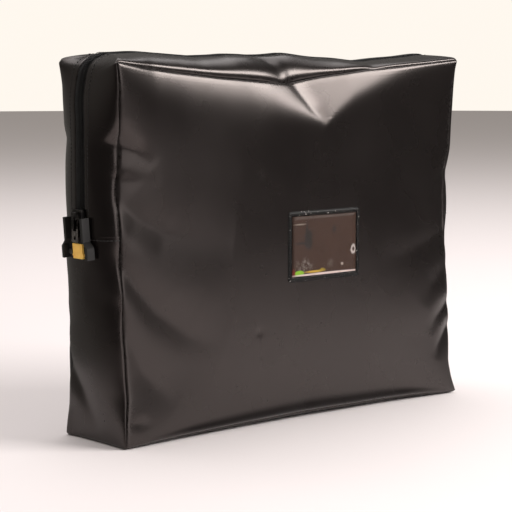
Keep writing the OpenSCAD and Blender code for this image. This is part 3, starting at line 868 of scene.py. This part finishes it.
def panel_skin(side, step=2.6):
    """A panel's cloth with its turned allowance, and its wear and painted shade: see coated_fabric()."""
    # More rows where the foot tucks under and where the top buckles.
    extra = [np.arange(5.6, 20, 1.3), np.arange(252, 300, 2.6) + 1.3]
    rows = np.concatenate([graded(0.0, HEIGHT, step), *extra])
    a, c = np.meshgrid(graded(-HALF_W, HALF_W, step), np.sort(rows), indexing="ij")
    p = panel_place(side, a, c) + seam_roll(side, a, c)
    from_edge = np.minimum(HALF_W - np.abs(a), np.minimum(c, HEIGHT - c))
    wear_and_shade = np.exp(-from_edge / 2.5)
    # Painted shade where the foot of the panel tucks under: its reflection is dulled there.
    tuck = eased(a, TUCK, 8)
    painted_shade = smooth((tuck * 1.5 + 3 - c) / (tuck * 0.9)) * smooth(tuck / 7) * smooth((c - 1) / 5)
    wear_and_shade = wear_and_shade - (1 + wear_and_shade) * painted_shade
    turned = (ALLOWANCE, ALLOWANCE * 0.5)
    for axis in (0, 1):
        first, last = np.take(p, [0], axis), np.take(p, [-1], axis)
        p = np.concatenate([first + t * edge_direction(side, axis, -1) for t in turned] + [p]
                           + [last + t * edge_direction(side, axis, 1) for t in turned[::-1]], axis)
    return p, np.pad(wear_and_shade, len(turned))


def make_panel_skin(side, name, body, *nodes):
    grid, wear_and_shade = panel_skin(side)
    skin = shell(name, grid, SKIN_T, skin_mat, side > 0, wear_and_shade)
    dress(skin, "black_coated_fabric", body, *nodes)


def make_panel_lining(side, name, body, *nodes):
    a, c = np.meshgrid(np.linspace(-HALF_W + ALLOWANCE, HALF_W - ALLOWANCE, 74),
                       np.linspace(ALLOWANCE, HEIGHT - ALLOWANCE, 61), indexing="ij")
    flip = side > 0
    lining = shell(name, moved_in(panel_place(side, a, c), LINING_GAP, flip), LINING_T, lining_mat, flip)
    dress(lining, "lining_fabric", body, *nodes)


make_panel_skin(-1, "front_skin", "front", "front_panel_lower", "front_panel_fold", "front_panel_upper")
make_panel_skin(1, "back_skin", "root", "back_panel")
make_panel_lining(-1, "front_panel_lining", "front", "front_lining_lower", "front_lining_fold",
                  "front_lining_upper")
make_panel_lining(1, "back_panel_lining", "root", "back_lining")

# A strip's columns, from 0 at its seam to 1 at its edge by the zip.
SEAM_COLS = np.array([0, 0.02, 0.045, 0.075, 0.115])
STRIP_COLS = np.concatenate([SEAM_COLS, np.linspace(0.16, 0.96, 18), [0.985, 1.0]])
# How far from the zip's line the thread in the strips lies.
EDGE_THREAD = 12.2
fine_rim = rim(2.8, JOIN_H)
coarse_rim = rim(5.5, JOIN_H)


def make_strip_skin(side, word, body, *nodes):
    """Half of the upper gusset's cloth, with the thread along its edge."""
    flip = side > 0
    grid = strip_grid(fine_rim, side, STRIP_COLS)
    # The edge by the zip is folded under: thicker and rounded.
    folded = np.where(STRIP_COLS > 0.8, SKIN_T * 1.3, SKIN_T)
    drop = np.zeros(len(STRIP_COLS))
    drop[-2:] = 0.12, 0.55
    grid = moved_in(grid, drop[None, :, None], flip)
    wear_and_shade = np.maximum(np.exp(-STRIP_COLS / 0.06), 0.7 * (STRIP_COLS > 0.98))
    skin = shell(word + "_strip_skin", grid, folded[None, :], skin_mat, flip,
                 np.broadcast_to(wear_and_shade, grid.shape[:2]))
    dress(skin, "black_coated_fabric", body, *nodes)
    row = 40
    from_zip = np.abs(grid[row, :, 1] - ridge(fine_rim[row])[0][1])
    column = int(np.argmin(np.abs(from_zip - EDGE_THREAD)))
    stitches(word + "_edge_stitches", grid[:, column], outward(grid, flip)[:, column], body)


def make_strip_lining(side, word, body, *nodes):
    flip = side > 0
    grid = strip_grid(coarse_rim, side, np.linspace(0.1, 0.72, 9))
    lining = shell(word + "_strip_lining_cloth", moved_in(grid, LINING_GAP, flip), LINING_T, lining_mat, flip)
    dress(lining, "lining_fabric", body, *nodes)


def make_tape(side, word, body, *nodes):
    """Half of the zip's tape, from under the strip to the coil."""
    flip = side > 0
    grid = strip_grid(fine_rim, side, np.linspace(0.74, 1, 5), inner=(4.6, 3.4, 2.3, 1.3))
    tape = shell(word + "_tape_cloth", moved_in(grid, TAPE_GAP, flip), 0.5, tape_mat, flip)
    dress(tape, "zip_tape", body, *nodes)


make_strip_skin(-1, "front", "front", "front_strip_fold", "front_zip_strip")
make_strip_lining(-1, "front", "front", "front_strip_lining_fold", "front_strip_lining")
make_tape(-1, "front", "front", "front_tape_fold", "front_zip_tape")
make_strip_skin(1, "rear", "root", "rear_zip_strip")
make_strip_lining(1, "rear", "root", "rear_strip_lining")
make_tape(1, "rear", "root", "rear_zip_tape")


def make_lower_gusset():
    """The lower gusset's cloth and its lining."""
    grid = lower_grid(np.concatenate([SEAM_COLS, np.linspace(0.16, 1, 13)]), JOIN_H)
    column = np.arange(grid.shape[1])
    wear_and_shade = np.exp(-np.minimum(column, column[::-1]) / 1.6)
    skin = shell("lower_gusset_skin", grid, SKIN_T, skin_mat, True, np.broadcast_to(wear_and_shade, grid.shape[:2]))
    dress(skin, "black_coated_fabric", "root", "lower_gusset")
    under = lower_grid(np.linspace(0.1, 1, 10), JOIN_H - 1, 6.0)
    lining = shell("lower_gusset_lining_cloth", moved_in(under, LINING_GAP, True), LINING_T, lining_mat, True)
    dress(lining, "lining_fabric", "root", "lower_gusset_lining")
    return grid


def join_stitches(name, side, top_row):
    """Thread that holds the lower gusset to the strips, a little below the gusset's top row."""
    line = top_row[np.abs(top_row[:, 1]) < 37] - [0, 0, 2.6]
    stitches(name, line, np.tile([float(side), 0, 0], (len(line), 1)), "root", 3.0, 2.3, 0.1)


def seam_ring(side):
    """Places round a panel's whole seam and the direction from each into the bag."""
    w = np.linspace(-HALF_W, HALF_W, 124)[2:-2]
    h = np.linspace(0, HEIGHT, 103)[2:-2]
    loop = [(x, 0.0, 0, 1) for x in w] + [(HALF_W, z, -1, 0) for z in h]
    loop += [(x, HEIGHT, 0, -1) for x in w[::-1]] + [(-HALF_W, z, 1, 0) for z in h[::-1]]
    a, c, dx, dz = np.array(loop).T
    d = unit(np.stack([dx, np.full(len(loop), -side), dz], -1))
    for _ in range(3):
        d = unit(d + np.roll(d, 1, axis=0) + np.roll(d, -1, axis=0))
    return panel_place(side, a, c), d


def binding(side, name):
    """The tape folded over the raw edges of a panel's seam, inside the bag."""
    p, d = seam_ring(side)
    along = unit(np.roll(p, -1, axis=0) - np.roll(p, 1, axis=0))
    across = unit(np.cross(along, d))
    half = [(2.6, -0.7), (3.2, -1.25), (8.4, -1.25), (9.0, -0.7)]
    shape = half + [(u, -v) for u, v in half[::-1]]
    sections = np.stack([p + d * u + across * v for u, v in shape], 1)
    return tube(name, sections, binding_mat, closed=True)


gusset = make_lower_gusset()
dress(binding(1, "rear_seam_tape"), "binding_tape", "root", "rear_seam_binding")
dress(binding(-1, "front_seam_tape"), "binding_tape", "front",
      "front_binding_lower", "front_binding_fold", "front_binding_upper")

# ---- Zip ----

dense = rim(1.0, ZIP_END_H - 6)
zip_line = np.array([np.concatenate(ridge(s)) for s in dense])
zip_run = run_along(zip_line[:, :3])
PITCH = 1.7
COIL_WIRE_R = 0.36
# A loop's middle and reach across the tape, and its middle and reach out from it.
COIL_ACROSS = (2.1, 2.3)
COIL_OUT = (0.15, 0.85)
# Where the coil starts and how far before the line's end it stops.
COIL_ENDS = (6.0, 9.0)
TAB_W = 27.0
TAB_H = 12.6
TAB_MID = (JOIN_H + 0.8 + ZIP_END_H - 0.6) / 2
TAB_FACE = HALF_W + SIDE_RISE + 1.45


def coil(side, name):
    """Half of the zip's coil: a flattened helix of nylon wire, half a pitch ahead of the other half."""
    turns = int((zip_run[-1] - sum(COIL_ENDS)) / PITCH)
    t = np.arange(turns * 12 + 1) / 12.0
    at = at_run(COIL_ENDS[0] + (t + (0.5 if side > 0 else 0.0)) * PITCH, zip_run, zip_line)
    place, n = at[:, :3], unit(at[:, 3:])
    # Heads stand a little past the middle, between the other row's heads.
    across = COIL_ACROSS[0] - COIL_ACROSS[1] * np.cos(2 * math.pi * t)
    out = COIL_OUT[0] + COIL_OUT[1] * np.sin(2 * math.pi * t)
    path = place + np.array([0, side, 0.0]) * across[:, None] + n * out[:, None]
    ahead = unit(np.gradient(path, axis=0))
    up = unit(n - ahead * np.sum(n * ahead, axis=1, keepdims=True))
    return tube(name, wire(path, np.cross(ahead, up), up, COIL_WIRE_R), teeth_mat)


def end_tab():
    """The sewn tab that covers the zip's far end on the right side."""
    y, z = np.meshgrid(np.linspace(-TAB_W / 2, TAB_W / 2, 15),
                       np.linspace(TAB_MID - TAB_H / 2, TAB_MID + TAB_H / 2, 9), indexing="ij")
    from_middle = np.maximum(np.abs(y) / (TAB_W / 2), np.abs(z - TAB_MID) / (TAB_H / 2))
    x = TAB_FACE - 0.9 * np.clip((from_middle - 0.86) / 0.14, 0, 1) ** 2
    tab = shell("end_tab_cloth", np.stack([x, y, z], -1), 0.9, skin_mat)
    dress(tab, "black_coated_fabric", "root", "zip_end_tab")
    w, low, high = 11.5, JOIN_H + 2.8, ZIP_END_H - 2.6
    corners = [(-w, low), (w, low), (w, high), (-w, high), (-w, low)]
    line = np.array([(TAB_FACE, y, z) for y, z in corners])
    stitches("end_tab_stitches", line, np.tile([1.0, 0, 0], (5, 1)), "root", 2.6, 2.0)


dress(coil(1, "rear_coil_teeth"), "zip_teeth", "root", "rear_zip_coil")
dress(coil(-1, "front_coil_teeth"), "zip_teeth", "front", "front_coil_fold", "front_zip_coil")
end_tab()
join_stitches("left_join_stitches", -1, gusset[0])
join_stitches("right_join_stitches", 1, gusset[-1])

# ---- Hardware ----


def finish_node(node, material, bevel):
    """A CAD node that keeps its shape, with rounded edges and its own material."""
    obj = frame["nodes"][node]
    obj.data.materials.clear()
    obj.data.materials.append(material)
    weld = obj.modifiers.new("weld", "WELD")
    weld.merge_threshold = 0.00001
    cut = obj.modifiers.new("edges", "BEVEL")
    cut.width = bevel * MM
    cut.segments = 3
    cut.limit_method = "ANGLE"
    cut.angle_limit = math.radians(40)
    obj.data.polygons.foreach_set("use_smooth", [True] * len(obj.data.polygons))
    weighted = obj.modifiers.new("normals", "WEIGHTED_NORMAL")
    weighted.keep_sharp = True


finish_node("seal_chamber", housing_mat, 0.5)
finish_node("chamber_back_plate", housing_mat, 0.3)
finish_node("chamber_rivets", rivet_mat, 0.2)
finish_node("security_seal", seal_mat, 0.35)
finish_node("zip_slider", slider_mat, 0.3)
finish_node("zip_pull", pull_mat, 0.3)

# ---- Window ----

# The border's width, the radius of its corners and the spacing of its pressed marks.
BAR = 3.6
BORDER_CORNER = 1.2
MARK_PITCH = 2.4


def ring_path(lo, hi, inset, radius, step):
    """A rounded rectangle in X and Z, walked clockwise as seen from the front."""
    x0, x1, z0, z1 = lo[0] + inset, hi[0] - inset, lo[2] + inset, hi[2] - inset
    pts = []
    for cx, cz, a0 in ((x1 - radius, z1 - radius, 90), (x1 - radius, z0 + radius, 0),
                       (x0 + radius, z0 + radius, -90), (x0 + radius, z1 - radius, -180)):
        for k in range(5):
            a = math.radians(a0 - 90 * k / 4)
            pts.append((cx + radius * math.cos(a), cz + radius * math.sin(a)))
    pts = np.array(pts + pts[:1])
    run = run_along(pts)
    s = np.arange(int(run[-1] / step)) * step
    xz = at_run(s, run, pts)
    ahead = unit(np.roll(xz, -1, axis=0) - np.roll(xz, 1, axis=0))
    return s, xz, np.stack([-ahead[:, 1], ahead[:, 0]], -1)


def weld_frame():
    """The window's border: a welded bar with a thin lip outside and small pressed marks along it."""
    half = BAR / 2
    sections = []
    for s, (x, z), (out_x, out_z) in zip(*ring_path(frame_lo, frame_hi, half, BORDER_CORNER, 0.35)):
        mark = 0.5 + 0.5 * math.cos(2 * math.pi * s / MARK_PITCH)
        top = 0.7 - (0.3 if abs(out_x) > 0.7 else 0.12) * mark**3
        lip = 0.22 + 0.1 * math.sin(s / 3.1) * math.sin(s / 7.7)
        profile = [(half, 0.0), (half + 0.02, lip), (half - 0.35, lip + 0.22), (half - 0.75, lip - 0.05),
                   (0.75, top), (-0.55, top), (-1.25, 0.7), (-half, 0.62), (-half, 0.02)]
        sections.append([[x + out_x * u, -HALF_D - h, z + out_z * u] for u, h in profile])
    return tube("window_border", np.array(sections)[::-1], weld_mat, closed=True)


dress(weld_frame(), "window_weld", "root", "window_frame")
film = shell("film_sheet", flat_sheet(film_lo, film_hi, 60, 44), 0.2, film_mat)
dress(film, "clear_film", "root", "window_film")
card = shell("card_board", flat_sheet(card_lo, card_hi, 20, 16), 0.3, card_mat)
dress(card, "label_card", "card", "label_card")

# ---- Stage, lights and camera ----

STAGE_SIDES = 96
NEAR_FLOOR_R = 550
FAR_FLOOR_R = 8000

def area_light(name, place, aim, size, power, color):
    data = bpy.data.lights.new(name, "AREA")
    data.shape = "RECTANGLE"
    data.size, data.size_y = size
    data.energy = power
    data.color = color
    obj = add_object(name, data)
    obj.location = place
    obj.rotation_euler = (Vector(aim) - Vector(place)).to_track_quat("-Z", "Y").to_euler()
    obj.visible_camera = False


def stage_ring(radius):
    """A circle on the floor, round a place in front of the bag."""
    return [(120 + radius * math.cos(t), -200 + radius * math.sin(t), -0.1) for t in circle(STAGE_SIDES)]


def make_stage():
    """The floor. The bag mirrors only its near part."""
    n = STAGE_SIDES
    floor_mat = Nodes("stage_floor", (0.84, 0.79, 0.80), 0.6).material
    near = mesh_object("stage_floor_near", stage_ring(NEAR_FLOOR_R), [list(range(n))], floor_mat)
    faces = [[i, (i + 1) % n, n + (i + 1) % n, n + i] for i in range(n)]
    far = mesh_object("stage_floor_far", stage_ring(FAR_FLOOR_R) + stage_ring(NEAR_FLOOR_R), faces, floor_mat)
    far.visible_glossy = False


def make_world():
    """A pale backdrop. What the bag mirrors is a dim room, brightest behind the bag."""
    world = bpy.data.worlds.new("studio")
    bpy.context.scene.world = world
    nodes = Tree(world)
    way = nodes.add("ShaderNodeTexCoord").outputs["Generated"]
    ahead = nodes.add("ShaderNodeVectorMath", {0: way, 1: (-0.2, 0.98, 0.0)}, operation="DOT_PRODUCT")
    strength = nodes.add("ShaderNodeMapRange", {"Value": ahead.outputs["Value"], "From Min": -0.3,
                                                "From Max": 1.3, "To Min": 0.05, "To Max": 0.25},
                         interpolation_type="SMOOTHSTEP").outputs["Result"]
    seen = nodes.add("ShaderNodeLightPath")
    for kind, level in (("Is Diffuse Ray", 0.42), ("Is Camera Ray", 1.0)):
        strength = nodes.add("ShaderNodeMix", {0: seen.outputs[kind], 2: strength, 3: level}).outputs[0]
    back = nodes.tree.nodes["Background"]
    back.inputs["Color"].default_value = (1.0, 0.94, 0.86, 1)
    nodes.tree.links.new(strength, back.inputs["Strength"])


def make_camera():
    data = bpy.data.cameras.new("camera")
    data.lens = 125.9
    data.sensor_width = 36.0
    camera = add_object("camera", data)
    azimuth, elevation, distance = math.radians(-40.24), math.radians(6.55), 1.5348
    target = Vector((-0.01648, 0, 0.13846))
    toward = Vector((math.sin(azimuth) * math.cos(elevation),
                     -math.cos(azimuth) * math.cos(elevation), math.sin(elevation)))
    camera.location = target + toward * distance
    camera.rotation_euler = (-toward).to_track_quat("-Z", "Y").to_euler()
    bpy.context.scene.camera = camera


make_stage()
make_world()
area_light("key", (1.35, -1.55, 1.55), (0.0, 0.0, 0.25), (1.5, 0.8), 62, (1.0, 0.97, 0.94))
area_light("overhead", (0.3, 0.9, 2.5), (0.1, 0.1, 0.0), (3.2, 2.4), 50, (1.0, 0.97, 0.97))
area_light("fill", (0.32, -2.55, 0.5), (0.0, 0.0, 0.2), (1.5, 1.3), 10, (1.0, 0.96, 0.95))
make_camera()
bpy.context.scene.view_settings.view_transform = "Standard"
